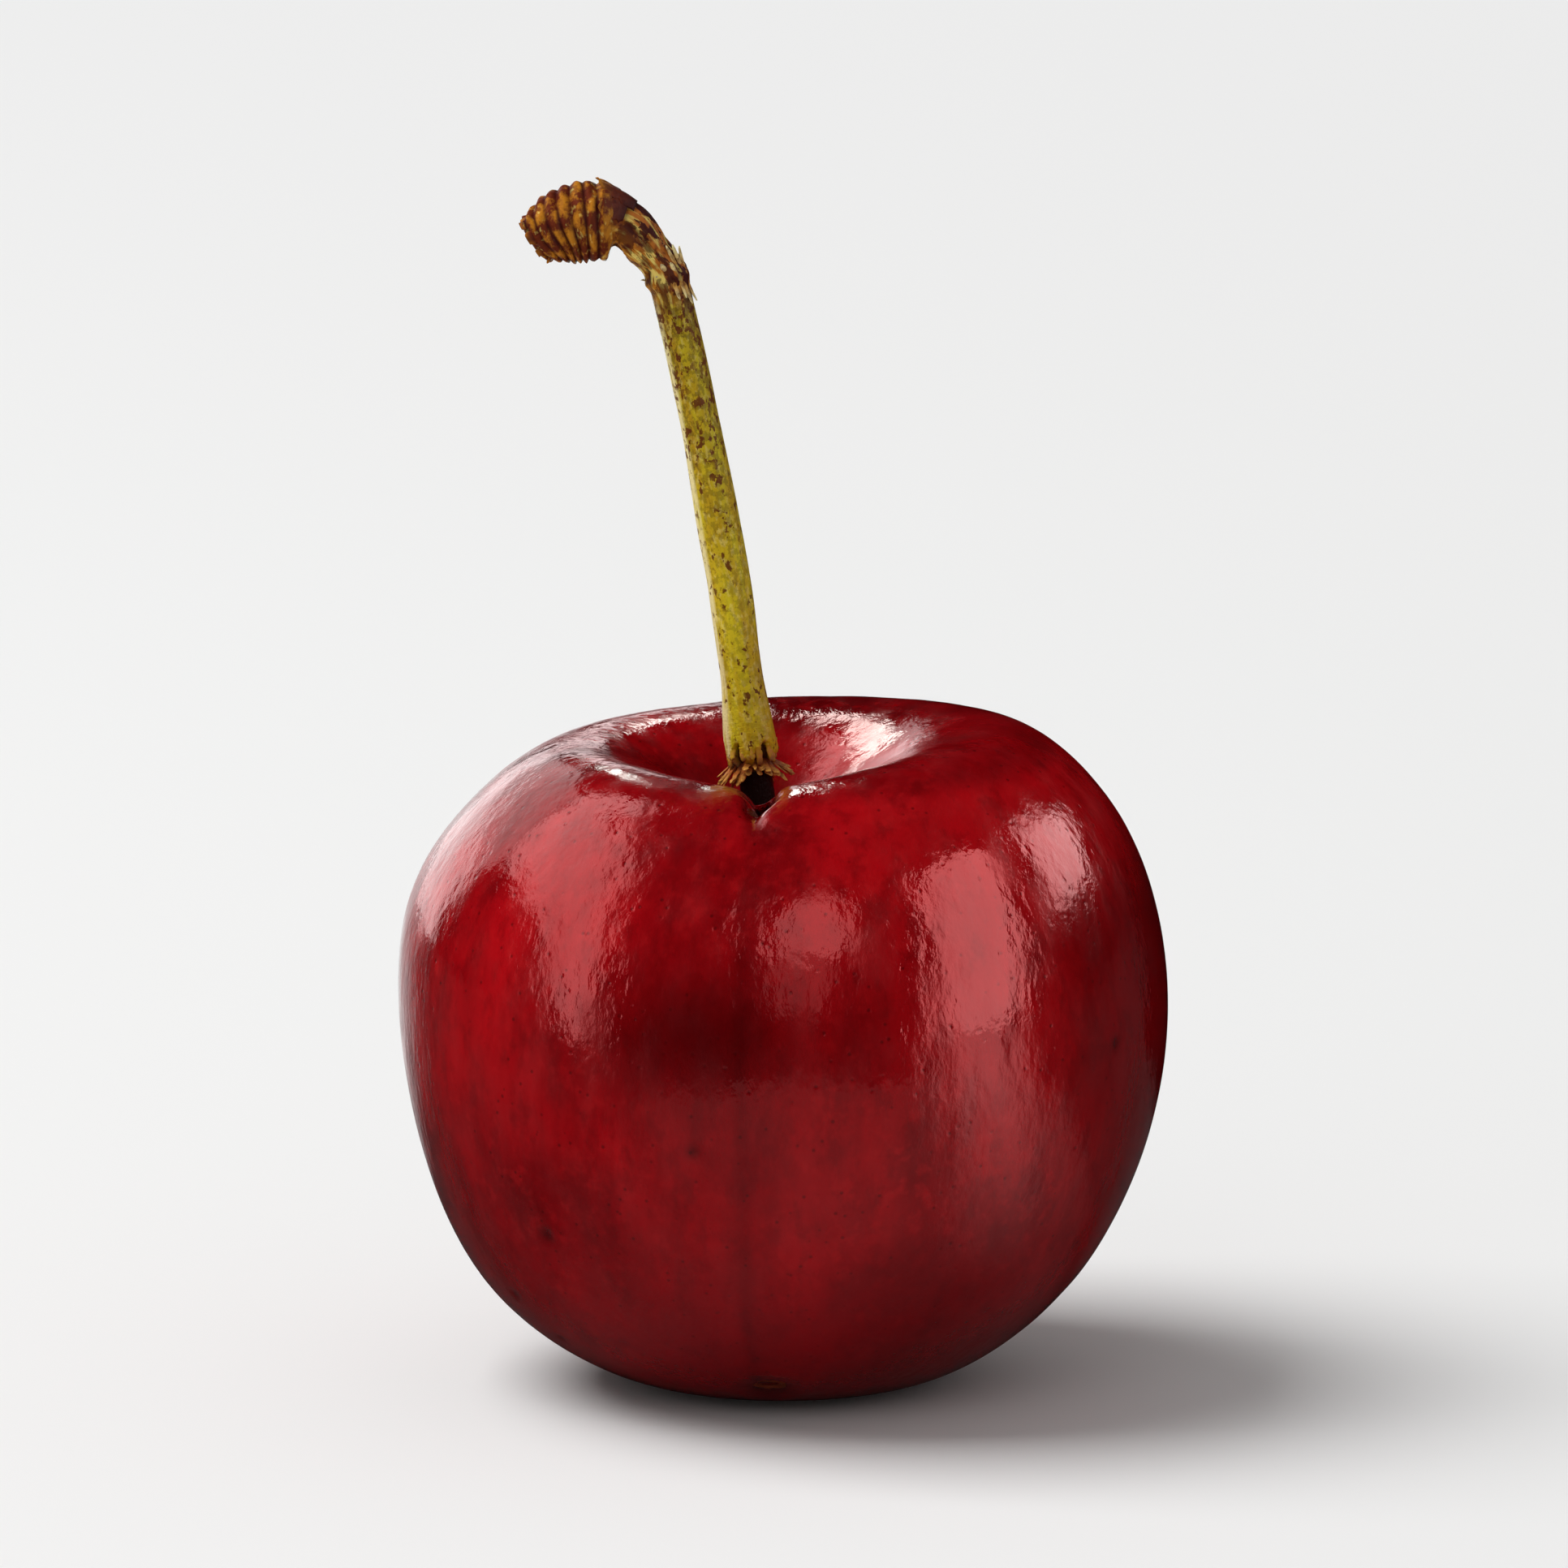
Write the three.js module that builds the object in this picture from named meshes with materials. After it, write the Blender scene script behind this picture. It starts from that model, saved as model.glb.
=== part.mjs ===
// One sweet cherry on its stalk, standing on its blossom end. Millimetres, +Z up.
// The suture line faces -Y, the broad cheeks face +X and -X, and the stalk leans towards -X.
import * as THREE from "three";

// ---- Driving dimensions of the fruit ----
const ROUND_RADIUS = 13.98; // mean radius of the flesh about its middle
const MIDDLE_HEIGHT = 13.3; // height of the middle above the resting face
const BOTTOM_SHARE = 0.03; // how much rounder the lower half is
const TALL_SHARE = -0.0235; // shorter along the stalk than across
const HEART_SHARE = 0.027; // broad shoulders, straighter lower flanks
const SQUARE_SHARE = -0.0145; // fuller at the corners of the outline
const CAVITY_DEPTH = 5.4; // dip that the stalk stands in
const CAVITY_SPREAD = 0.45; // half angle of that dip, radians
const CAVITY_FLATNESS = 3.2; // 2 is a plain bell, more has a flatter floor
const CAVITY_SHIFT = -1.3; // the cavity sits a little towards -X
const DEPTH_SHARE = 0.927; // suture to back, as a share of cheek to cheek
const CREST_HEIGHT = 24.5; // height of the shoulders
const SHOULDER_TILT = 0.05; // the +X shoulder stands higher, per mm of reach
const CHEEK_FULLNESS = 0.28; // the -X cheek is fuller at these two heights
const CHEEK_HIGH = 19.5;
const CHEEK_LOW = 4.5;
const CHEEK_REACH = 3.6; // how far up and down each fullness fades
const SUTURE_ANGLE = -Math.PI / 2 - 0.12; // direction of the suture line
const SUTURE_DIP = 0.56; // drop of the cavity lip on the suture side
const SUTURE_DIP_SPREAD = 0.6; // half angle of that drop, radians
const GROOVE_DEPTH = 0.35; // depth of the suture groove at the cavity lip
const GROOVE_SPREAD = 0.14; // half angle of the groove, radians
const GROOVE_LOW_SHARE = 0.25; // what is left of the groove at the blossom end
const FRUIT_SIDES = 60;
const FRUIT_RINGS = 38;

// ---- Driving dimensions of the stalk, by length from its lowest point ----
const STALK_FOOT_X = -0.86; // where the stalk stands in the cavity
const STALK_FOOT_Z = 21.2;
const CORE_RADIUS = 0.62; // woody core below the torn collar
const COLLAR_AT = 1.75; // middle of the torn collar
const COLLAR_RADIUS = 1.3;
const COLLAR_HALF_HEIGHT = 0.22;
const FOOT_TOP_AT = 2.4; // where the green shaft begins
const FOOT_RADIUS = 0.98;
const SHAFT_RADIUS = 0.8;
const WAIST_AT = 17; // thinnest place, just under the node
const WAIST_RADIUS = 0.71;
const NODE_AT = 20.25; // torn ring where the shaft gives way to the neck
const NODE_RADIUS = 0.84;
const NODE_HALF_HEIGHT = 0.3;
const NECK_AT = 20.9;
const NECK_RADIUS = 0.72;
const KNOB_AT = 23.5; // where the ridged woody knob begins
const KNOB_NECK_RADIUS = 0.93;
const KNOB_RADIUS = 1.45;
const KNOB_STEP = 0.6; // length over which the neck widens into the knob
const STALK_LENGTH = 26.3;
const KNOB_END_RADIUS = 0.88;
const RIDGES = 7;
const RIDGE_HEIGHT = 0.13;
const SAMPLES_PER_RIDGE = 4;
const STALK_SIDES = 18;

// ---- Lean of the stalk from upright towards -X, in degrees ----
const FOOT_LEAN = 7.5;
const SHAFT_LEAN = 5.2;
const NECK_LEAN = 28;
const BEND_LEAN = 50;
const KNOB_LEAN = 32;
const BEND_LENGTH = 1.35; // length over which the neck turns into the knob
const SIDE_LEAN = 1.5; // steady lean away from the suture side

// 0 below the first length, 1 above the second, with a smooth passage between.
function passage(value, from, to) {
  return THREE.MathUtils.smoothstep(value, from, to);
}

// A bell that is 1 at zero and fades over the given spread.
function bell(value, spread) {
  return Math.exp(-((value / spread) ** 2));
}

// Distance from the middle of the flesh at an angle from straight down:
// a round body with four gentle waves, less a bell-shaped dip at the top for the stalk.
function fleshRadius(fromDown) {
  const waves =
    1 +
    BOTTOM_SHARE * Math.cos(fromDown) +
    TALL_SHARE * Math.cos(2 * fromDown) +
    HEART_SHARE * Math.cos(3 * fromDown) +
    SQUARE_SHARE * Math.cos(4 * fromDown);
  const fromUp = (Math.PI - fromDown) / CAVITY_SPREAD;
  return ROUND_RADIUS * waves - CAVITY_DEPTH * Math.exp(-(fromUp ** CAVITY_FLATNESS));
}

// Outline of the fruit from the resting face up to the floor of the cavity.
function fruitProfile() {
  const points = [new THREE.Vector2(0, 0)];
  for (let ring = 1; ring < FRUIT_RINGS; ring += 1) {
    const fromDown = (Math.PI * ring) / FRUIT_RINGS;
    const reach = fleshRadius(fromDown);
    const height = MIDDLE_HEIGHT - reach * Math.cos(fromDown);
    points.push(new THREE.Vector2(reach * Math.sin(fromDown), Math.max(height, 0)));
  }
  points.push(new THREE.Vector2(0, MIDDLE_HEIGHT + fleshRadius(Math.PI)));
  return points;
}

// Smallest turn from the suture line to a direction, in radians.
function turnFromSuture(angle) {
  const full = 2 * Math.PI;
  return THREE.MathUtils.euclideanModulo(angle - SUTURE_ANGLE + Math.PI, full) - Math.PI;
}

// Flattens the flesh front to back, tilts the shoulders, lowers the lip and cuts the groove.
function shapeFruit(geometry) {
  const place = geometry.getAttribute("position");
  for (let i = 0; i < place.count; i += 1) {
    let x = place.getX(i);
    let y = place.getY(i) * DEPTH_SHARE;
    let z = place.getZ(i);
    const reach = Math.hypot(x, y);
    const turn = turnFromSuture(Math.atan2(y, x));
    const high = THREE.MathUtils.clamp(z / CREST_HEIGHT, 0, 1);
    const outward = passage(reach, 1, CAVITY_DEPTH);
    const cheekward = (reach - x) / Math.max(2 * reach, 1);
    const fuller = bell(z - CHEEK_HIGH, CHEEK_REACH) + bell(z - CHEEK_LOW, CHEEK_REACH);
    x -= CHEEK_FULLNESS * cheekward ** 2 * fuller * passage(z, 0, 1);
    const lift = SHOULDER_TILT * x - SUTURE_DIP * outward * bell(turn, SUTURE_DIP_SPREAD);
    const depth = GROOVE_DEPTH * outward * bell(turn, GROOVE_SPREAD) * passage(z, 0, 3);
    const cut = depth * THREE.MathUtils.lerp(GROOVE_LOW_SHARE, 1, high ** 6);
    x *= 1 - cut / Math.max(reach, 1);
    x += CAVITY_SHIFT * bell(reach, CAVITY_DEPTH) * high ** 3;
    y *= 1 - cut / Math.max(reach, 1);
    z += lift * high ** 3 - cut * high ** 8;
    place.setXYZ(i, x, y, z);
  }
}

// Radius of the stalk at a length along it.
function stalkRadius(along) {
  let radius = THREE.MathUtils.lerp(CORE_RADIUS, FOOT_RADIUS, passage(along, COLLAR_AT, FOOT_TOP_AT));
  radius += (SHAFT_RADIUS - FOOT_RADIUS) * passage(along, FOOT_TOP_AT, FOOT_TOP_AT + 3);
  radius += (WAIST_RADIUS - SHAFT_RADIUS) * passage(along, FOOT_TOP_AT + 8, WAIST_AT);
  radius += (NECK_RADIUS - WAIST_RADIUS) * passage(along, WAIST_AT + 1, NECK_AT);
  radius += (KNOB_NECK_RADIUS - NECK_RADIUS) * passage(along, NECK_AT, KNOB_AT - 1);
  radius += (KNOB_RADIUS - KNOB_NECK_RADIUS) * passage(along, KNOB_AT - KNOB_STEP, KNOB_AT);
  const taper = Math.max(along - KNOB_AT, 0) / (STALK_LENGTH - KNOB_AT);
  radius += (KNOB_END_RADIUS - KNOB_RADIUS) * taper ** 3;
  radius += (COLLAR_RADIUS - CORE_RADIUS) * bell(along - COLLAR_AT, COLLAR_HALF_HEIGHT);
  radius += (NODE_RADIUS - WAIST_RADIUS) * bell(along - NODE_AT, NODE_HALF_HEIGHT);
  if (along > KNOB_AT) {
    const ridge = (RIDGES * (along - KNOB_AT)) / (STALK_LENGTH - KNOB_AT);
    radius += (RIDGE_HEIGHT / 2) * (1 - Math.cos(2 * Math.PI * ridge)) - RIDGE_HEIGHT / 2;
  }
  return radius;
}

// Lengths at which the stalk is measured: evenly up the shaft, closer where the shape changes.
function stalkStations() {
  const stations = [];
  const fill = (from, to, steps) => {
    for (let i = 0; i < steps; i += 1) {
      stations.push(from + ((to - from) * i) / steps);
    }
  };
  fill(0.12, COLLAR_AT - 0.5, 2);
  fill(COLLAR_AT - 0.5, FOOT_TOP_AT, 9);
  fill(FOOT_TOP_AT, NODE_AT - 0.6, 14);
  fill(NODE_AT - 0.6, NECK_AT, 8);
  fill(NECK_AT, KNOB_AT - KNOB_STEP, 10);
  fill(KNOB_AT - KNOB_STEP, KNOB_AT, 4);
  fill(KNOB_AT, STALK_LENGTH, RIDGES * SAMPLES_PER_RIDGE);
  stations.push(STALK_LENGTH);
  return stations;
}

// Outline of the straight stalk from its rounded lowest point to its flat cut end.
function stalkProfile() {
  const points = [new THREE.Vector2(0, 0)];
  points.push(new THREE.Vector2(CORE_RADIUS * 0.7, 0.03));
  for (const along of stalkStations()) {
    points.push(new THREE.Vector2(stalkRadius(along), along));
  }
  points.push(new THREE.Vector2(0, STALK_LENGTH));
  return points;
}

// Lean of the stalk from upright at a length along it, in radians.
function stalkLean(along) {
  const lean =
    FOOT_LEAN +
    SHAFT_LEAN * passage(along, 4, NODE_AT) +
    NECK_LEAN * passage(along, NODE_AT - 0.6, NECK_AT + 0.4) +
    BEND_LEAN * passage(along, KNOB_AT - BEND_LENGTH, KNOB_AT) +
    KNOB_LEAN * passage(along, KNOB_AT, STALK_LENGTH);
  return THREE.MathUtils.degToRad(lean);
}

// Point on the middle line of the stalk: its lean added up in short steps from the foot.
function stalkMiddle(along) {
  const steps = Math.ceil(along / 0.02);
  const step = steps > 0 ? along / steps : 0;
  const middle = new THREE.Vector3(STALK_FOOT_X, 0, STALK_FOOT_Z);
  for (let i = 0; i < steps; i += 1) {
    const lean = stalkLean((i + 0.5) * step);
    middle.x -= Math.sin(lean) * step;
    middle.z += Math.cos(lean) * step;
  }
  middle.y = Math.sin(THREE.MathUtils.degToRad(SIDE_LEAN)) * along;
  return middle;
}

// Lays the straight stalk along its middle line.
function bendStalk(geometry) {
  const place = geometry.getAttribute("position");
  for (let i = 0; i < place.count; i += 1) {
    const along = place.getZ(i);
    const lean = stalkLean(along);
    const middle = stalkMiddle(along);
    const across = place.getX(i);
    place.setXYZ(
      i,
      middle.x + across * Math.cos(lean),
      middle.y + place.getY(i),
      middle.z + across * Math.sin(lean),
    );
  }
}

// Turns a profile round the upright axis.
function turned(profile, sides) {
  const geometry = new THREE.LatheGeometry(profile, sides);
  geometry.rotateX(Math.PI / 2);
  return geometry;
}

const skin = new THREE.MeshStandardMaterial({ color: 0x7a0a14, roughness: 0.18, metalness: 0 });
const bark = new THREE.MeshStandardMaterial({ color: 0xa08a26, roughness: 0.6, metalness: 0 });

const fruitGeometry = turned(fruitProfile(), FRUIT_SIDES);
shapeFruit(fruitGeometry);
fruitGeometry.computeVertexNormals();
const fruit = new THREE.Mesh(fruitGeometry, skin);
fruit.name = "fruit";

const stalkGeometry = turned(stalkProfile(), STALK_SIDES);
bendStalk(stalkGeometry);
stalkGeometry.computeVertexNormals();
const stalk = new THREE.Mesh(stalkGeometry, bark);
stalk.name = "stalk";

const cherry = new THREE.Group();
cherry.name = "cherry";
cherry.add(fruit);
cherry.add(stalk);

export default cherry;
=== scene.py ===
# %% [markdown]
# # A sweet cherry on its stalk
# This lesson builds one ripe cherry: a glossy broad-shouldered fruit and the slim olive stalk
# that it hung from, hooked over at the top into the ridged woody knob that held it to the
# tree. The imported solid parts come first, because every finer piece is built around them.
# They are plain shapes for collision. The pieces below stand in for them on screen.

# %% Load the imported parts
import math

import bpy
import numpy as np
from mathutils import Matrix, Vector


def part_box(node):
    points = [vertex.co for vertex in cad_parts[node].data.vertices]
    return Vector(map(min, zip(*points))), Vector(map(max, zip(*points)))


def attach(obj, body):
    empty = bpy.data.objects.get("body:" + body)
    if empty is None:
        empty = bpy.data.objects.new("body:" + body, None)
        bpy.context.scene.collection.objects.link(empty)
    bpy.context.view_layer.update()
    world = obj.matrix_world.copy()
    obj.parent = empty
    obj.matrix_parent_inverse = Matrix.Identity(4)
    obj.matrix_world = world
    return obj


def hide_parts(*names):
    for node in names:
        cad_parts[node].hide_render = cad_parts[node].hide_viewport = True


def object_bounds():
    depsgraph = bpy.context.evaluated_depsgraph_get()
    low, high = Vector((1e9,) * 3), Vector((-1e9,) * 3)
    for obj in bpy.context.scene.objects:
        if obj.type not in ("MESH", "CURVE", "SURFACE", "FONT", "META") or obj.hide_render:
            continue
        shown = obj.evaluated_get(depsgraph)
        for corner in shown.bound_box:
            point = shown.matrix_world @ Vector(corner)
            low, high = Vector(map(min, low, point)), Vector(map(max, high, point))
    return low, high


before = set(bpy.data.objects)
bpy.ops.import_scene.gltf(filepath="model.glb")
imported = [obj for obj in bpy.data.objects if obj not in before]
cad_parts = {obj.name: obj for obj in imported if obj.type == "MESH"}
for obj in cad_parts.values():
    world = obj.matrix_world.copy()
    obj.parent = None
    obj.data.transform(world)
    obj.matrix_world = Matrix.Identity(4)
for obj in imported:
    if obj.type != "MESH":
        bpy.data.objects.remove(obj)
cad_low, cad_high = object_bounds()


def add_object(name, data):
    """Puts a new object into the scene, at the origin."""
    made = bpy.data.objects.new(name, data)
    bpy.context.scene.collection.objects.link(made)
    return made


print("parts:", sorted(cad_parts))
for name, (low, high) in (("whole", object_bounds()), ("fruit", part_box("fruit")),
                          ("stalk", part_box("stalk"))):
    print(name, "size in mm:", [round(1000 * side, 1) for side in high - low])

# %% [markdown]
# ## The camera
# A long lens far away keeps the outline of a small thing true. The camera looks along +Y
# from a little above, so that the near lip of the stalk's hollow just hides the root of the
# stalk. The lens is long enough for the cherry to fill most of the view.

# %% Camera
CAMERA_DISTANCE = 0.70
CAMERA_ELEVATION = math.radians(12)
VIEW_HEIGHT = 0.0575
SENSOR = 0.036

camera_data = bpy.data.cameras.new("camera")
camera_data.sensor_width = SENSOR * 1000
camera_data.lens = 1000 * SENSOR * CAMERA_DISTANCE / VIEW_HEIGHT
camera_data.clip_start, camera_data.clip_end = 0.01, 20
camera = add_object("camera", camera_data)
aim = (cad_low + cad_high) / 2
aim.x, aim.y = 0, 0
camera.location = aim
camera.location.y -= CAMERA_DISTANCE * math.cos(CAMERA_ELEVATION)
camera.location.z += CAMERA_DISTANCE * math.sin(CAMERA_ELEVATION)
camera.rotation_euler = (math.pi / 2 - CAMERA_ELEVATION, 0, 0)
bpy.context.scene.camera = camera
bpy.context.scene.view_settings.view_transform = "Standard"
print("lens in mm:", round(camera_data.lens))

# %% [markdown]
# ## Short names for making finishes
# Every finish below is a small network of nodes round one principled shader. Wiring nodes
# one call at a time is long to read. This helper gives each a short name for what it does.

# %% Finish helper
class Finish:
    """A material with one principled shader, and short names for the nodes used here."""

    def __init__(self, name):
        self.material = bpy.data.materials.new(name)
        self.material.use_nodes = True
        self.tree = self.material.node_tree
        self.shader = self.tree.nodes["Principled BSDF"]

    def node(self, kind, **settings):
        made = self.tree.nodes.new("ShaderNode" + kind)
        for name, value in settings.items():
            setattr(made, name, value)
        return made

    def put(self, socket, value):
        """Gives a socket another node's output, or a plain value."""
        if isinstance(value, bpy.types.NodeSocket):
            self.tree.links.new(value, socket)
        else:
            socket.default_value = value

    def set(self, **values):
        """Puts values into the shader's own sockets, with _ for each space in a name."""
        for name, value in values.items():
            self.put(self.shader.inputs[name.replace("_", " ")], value)

    def number(self, name, output="Fac"):
        """The number, or with "Vector" the vector, stored for each point by this name."""
        return self.node("Attribute", attribute_name=name).outputs[output]

    def place(self, stretch=(1, 1, 1)):
        """The place on the object, in metres, stretched along its axes."""
        return self.stretched(self.node("TexCoord").outputs["Object"], stretch)

    def stretched(self, place, stretch, shift=(0, 0, 0)):
        """A place multiplied along each axis, then shifted."""
        mapping = self.node("Mapping")
        self.put(mapping.inputs["Vector"], place)
        self.put(mapping.inputs["Scale"], stretch)
        self.put(mapping.inputs["Location"], shift)
        return mapping.outputs["Vector"]

    def noise(self, place, size, detail=2.0, rough=0.5):
        """Cloudy grain whose blotches are about this size in millimetres."""
        noise = self.node("TexNoise")
        self.put(noise.inputs["Vector"], place)
        self.put(noise.inputs["Scale"], 1000 / size)
        self.put(noise.inputs["Detail"], detail)
        self.put(noise.inputs["Roughness"], rough)
        return noise.outputs["Fac"]

    def dots(self, place, size):
        """Distance to the nearest of scattered dots, size millimetres apart."""
        cells = self.node("TexVoronoi")
        self.put(cells.inputs["Vector"], place)
        self.put(cells.inputs["Scale"], 1000 / size)
        return cells.outputs["Distance"]

    def band(self, value, start, end, low=0.0, high=1.0):
        """Maps start to low and end to high, and holds both beyond."""
        mapped = self.node("MapRange")
        for socket, number in zip(("Value", "From Min", "From Max", "To Min", "To Max"),
                                  (value, start, end, low, high)):
            self.put(mapped.inputs[socket], number)
        return mapped.outputs["Result"]

    def cloud(self, place, size, start, end, detail=2.0, rough=0.5, high=1.0):
        """Cloudy grain cut at two levels: 0 where it is under start, high where over end."""
        return self.band(self.noise(place, size, detail, rough), start, end, 0.0, high)

    def parts(self, place):
        """The three numbers of a place, by the names X, Y and Z."""
        split = self.node("SeparateXYZ")
        self.put(split.inputs[0], place)
        return split.outputs

    def length(self, place):
        """Distance of a place from zero."""
        away = self.node("VectorMath", operation="LENGTH")
        self.put(away.inputs[0], place)
        return away.outputs["Value"]

    def reach(self, place, axis):
        """How far a place lies along an axis: the sum of their products."""
        dot = self.node("VectorMath", operation="DOT_PRODUCT")
        self.put(dot.inputs[0], place)
        self.put(dot.inputs[1], tuple(axis))
        return dot.outputs["Value"]

    def maths(self, operation, first, second=0.0):
        """One sum on two values."""
        sum_node = self.node("Math", operation=operation)
        self.put(sum_node.inputs[0], first)
        self.put(sum_node.inputs[1], second)
        return sum_node.outputs["Value"]

    def both(self, first, second):
        """The product of two amounts."""
        return self.maths("MULTIPLY", first, second)

    def blend(self, amount, first, second):
        """Mixes two colours by an amount between 0 and 1."""
        mix = self.node("Mix", data_type="RGBA")
        self.put(mix.inputs[0], amount)
        self.put(mix.inputs[6], first)
        self.put(mix.inputs[7], second)
        return mix.outputs[2]

    def bump(self, height, depth, under=None):
        """Tilts the surface by a height, whose full range is depth millimetres."""
        bump = self.node("Bump")
        self.put(bump.inputs["Height"], height)
        self.put(bump.inputs["Distance"], depth / 1000)
        if under is not None:
            self.put(bump.inputs["Normal"], under)
        return bump.outputs["Normal"]


def colour(red, green, blue):
    """A colour with full strength."""
    return (red, green, blue, 1.0)


print("finish helper ready")

# %% [markdown]
# ## Floor and studio light
# Wet-looking skin is seen mostly by what it mirrors, so the studio is built backwards: each
# bright patch wanted on the skin says where a white card must stand. The cards are glowing
# sheets that only mirrored rays see, and their corners are directions seen from the cherry.
# Floor and soft shadow are lit by two plain panels and an even pale sky, which mirrors see
# dark, as in a blacked-out studio. Placing everyday lamps by eye would also work, but the
# mirrored shapes would then be left to luck.

# %% Floor, cards and panels
CHERRY_MIDDLE = np.array([0.0, 0.0, 0.014])


def direction(turn, rise):
    """Unit vector at turn degrees to the right of the camera, seen from the cherry, and rise
    degrees above the horizon."""
    turn, rise = np.radians(turn), np.radians(rise)
    return np.stack([np.sin(turn) * np.cos(rise), -np.cos(turn) * np.cos(rise),
                     np.sin(rise)], -1)


def around_cherry(corners, distance=0.8):
    """Corners of a card from their directions, all at one distance from the cherry."""
    turns, rises = np.array(corners, float).T
    return CHERRY_MIDDLE + distance * direction(turns, rises)


def add_sheet(name, places):
    """An object with one face, whose corners are at these places."""
    mesh = bpy.data.meshes.new(name)
    mesh.from_pydata(places.tolist(), [], [list(range(len(places)))])
    return add_object(name, mesh)


def glowing_card(name, places, radiance, tint=(1, 1, 1)):
    """A sheet with its corners at these places that glows evenly, for mirrored rays only.
    With no radiance it is a black flag, which hides what is behind it from the mirrors."""
    card = add_sheet(name, places)
    glow = bpy.data.materials.new(name)
    glow.use_nodes = True
    tree = glow.node_tree
    tree.nodes.clear()
    light = tree.nodes.new("ShaderNodeEmission")
    light.inputs["Color"].default_value = colour(*tint)
    light.inputs["Strength"].default_value = radiance
    out = tree.nodes.new("ShaderNodeOutputMaterial")
    tree.links.new(light.outputs["Emission"], out.inputs["Surface"])
    card.data.materials.append(glow)
    for rays in ("camera", "diffuse", "transmission", "shadow"):
        setattr(card, "visible_" + rays, False)


def soft_panel(name, turn, rise, breadth, distance, radiance):
    """A square panel that lights the scene but isn't mirrored. breadth is in metres."""
    lamp = bpy.data.lights.new(name, "AREA")
    lamp.size = breadth
    lamp.energy = radiance * math.pi * breadth * breadth
    panel = add_object(name, lamp)
    panel.location = CHERRY_MIDDLE + distance * direction(turn, rise)
    panel.rotation_euler = (math.pi / 2 - math.radians(rise), 0, math.radians(turn))
    panel.visible_camera = False
    panel.visible_glossy = False


# Each card's name, radiance and corners, which are turns and rises in degrees.
CARDS = (
    ("left_card", 2.8, [(-53, -1), (-62, -2), (-80, 26), (-118, 31), (-131, 42), (-112, 60),
                        (-76, 57), (-53, 20)]),
    ("near_card", 2.15, [(-10, 30), (12, 26), (19, 34), (16, 55), (-7, 53), (-12, 44)]),
    ("faint_near_card", 0.65, [(-6, 12), (9, 10), (12, 26), (-10, 30)]),
    ("right_card", 3.9, [(44, -1), (72, -1), (86, 44), (48, 52)]),
    ("high_right_card", 4.3, [(93, 17), (116, 15), (131, 26), (107, 42)]),
    ("back_left_card", 2.3, [(-128, -1), (-165, -1), (-172, 9), (-188, 12), (-187, 20),
                             (-172, 15), (-157, 18), (-128, 20)]),
    ("haze_card", 1.2, [(-117, 27), (-128, 20.5), (-157, 18.5), (-168, 17.5), (-168, 25),
                        (-156, 36), (-140, 43), (-132, 41), (-119, 30)]),
    ("hollow_card", 2.9, [(-120, 44), (-142, 44), (-142, 64), (-120, 64)]),
)
for name, radiance, corners in CARDS:
    glowing_card(name, around_cherry(corners), radiance)


def upright_sheet(left, right, behind, low, high):
    """Corners of an upright sheet that faces the camera, in metres."""
    return np.array([(left, behind, low), (right, behind, low), (right, behind, high),
                     (left, behind, high)])


# Close behind stands a small card for the hollow's right wall, short of red, so that its
# image in the red skin comes out white. One black flag keeps the near lip's bright line
# thin, and the other keeps white off the lip's right half. The last five numbers of each are
# its left, right, distance behind, bottom and top.
for name, radiance, tint, sides in (
        ("wall_card", 11.0, (0.72, 1, 0.93), (-0.0098, -0.0018, 0.018, 0.0335, 0.0450)),
        ("lip_flag", 0.0, (1, 1, 1), (-0.0066, -0.0026, 0.0040, 0.0262, 0.0360)),
        ("black_flag", 0.0, (1, 1, 1), (-0.0025, 0.05, 0.035, 0.0, 0.08))):
    glowing_card(name, upright_sheet(*sides), radiance, tint)
soft_panel("top_left_light", turn=-94, rise=58, breadth=0.75, distance=1.1, radiance=6.2)
soft_panel("front_light", turn=-20, rise=38, breadth=0.6, distance=1.2, radiance=0.55)
print("cards round the cherry:", len(CARDS), "and soft panels:", len(bpy.data.lights))

# %% Floor
FLOOR_RADIUS, FLOOR_CORNERS = 2.7, 128
rim = np.linspace(0, 2 * np.pi, FLOOR_CORNERS, endpoint=False)
floor = add_sheet("floor", FLOOR_RADIUS * np.stack([np.cos(rim), np.sin(rim), 0 * rim], -1))

# Mirrors see the floor lit only in parts, as if by patchy light. The first part is an oval
# close in front, cut off on its left along a slanting line.
f = Finish("floor_paper")
across, back, _ = f.parts(f.place())
POOL_MIDDLE, POOL_REACH, POOL_SLANT, POOL_LIGHT = (0.005, -0.045), (0.060, 0.046), 0.83, 0.36
pool_place = f.stretched(f.place(), (1 / POOL_REACH[0], 1 / POOL_REACH[1], 0),
                         (-POOL_MIDDLE[0] / POOL_REACH[0], -POOL_MIDDLE[1] / POOL_REACH[1], 0))
pool_slant = f.maths("SUBTRACT", across, f.both(back, POOL_SLANT))
pool = f.both(f.band(f.length(pool_place), 0.92, 1.08, POOL_LIGHT, 0),
              f.band(pool_slant, -0.010, 0.022))

# The second part lies close behind, and widens to the left on its way back.
FAN_POINT, AT_LEAST = -0.0135, 0.001
fan_slant = f.maths("DIVIDE", f.maths("ADD", across, -FAN_POINT),
                    f.maths("MAXIMUM", back, AT_LEAST))
fan = f.both(f.band(back, 0.022, 0.050),
             f.both(f.band(across, -0.004, 0.006, 1, 0), f.band(fan_slant, -1.1, -0.25)))
patchy = f.band(f.maths("MAXIMUM", pool, fan), 0, 1, 0.05, 0.92)

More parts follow.
